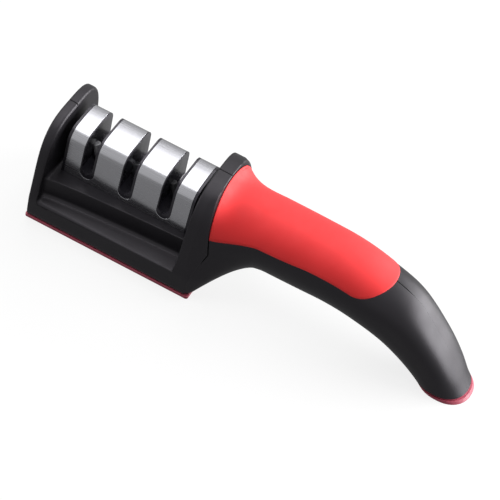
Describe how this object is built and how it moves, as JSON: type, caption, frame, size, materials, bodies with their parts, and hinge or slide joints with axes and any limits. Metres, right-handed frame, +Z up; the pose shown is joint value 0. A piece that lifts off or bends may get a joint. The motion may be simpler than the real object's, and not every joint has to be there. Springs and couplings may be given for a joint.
{
  "type": "knife sharpener",
  "caption": "Hand-held knife sharpener: a slotted steel-covered head in a black body whose collar runs into an arched handle with a soft red grip and a rubber tail foot.",
  "frame": {"origin": "on the table under the middle of the overall length, in the plane where the two body halves meet", "axes": "+X from the end plate towards the tail of the handle, +Y to the far side across the slots, +Z up from the table"},
  "size_m": [0.2066, 0.0534, 0.0544],
  "materials": {
    "black_plastic": "satin",
    "head_plastic": "glossy",
    "soft_grip": "satin",
    "rubber_pad": "matte",
    "steel": "polished",
    "diamond": "gritty",
    "carbide": "ground",
    "ceramic": "matte",
    "screw_steel": "satin"
  },
  "bodies": {
    "root": {"body_left": "black_plastic", "body_right": "black_plastic", "grip": "soft_grip", "base_plate": "black_plastic", "base_pad": "rubber_pad", "tail_pad": "rubber_pad", "steel_cover": "steel", "cartridge_body": "head_plastic", "cartridge_floor": "head_plastic", "coarse_holder": "head_plastic", "carbide_holder": "head_plastic", "fine_holder": "head_plastic", "diamond_rod_left": "diamond", "diamond_rod_right": "diamond", "carbide_blade_left": "carbide", "carbide_blade_right": "carbide", "ceramic_rod_left": "ceramic", "ceramic_rod_right": "ceramic", "blade_screws": "screw_steel", "cartridge_screws": "screw_steel", "base_plate_screws": "screw_steel", "handle_screws": "screw_steel"}
  },
  "joints": []
}
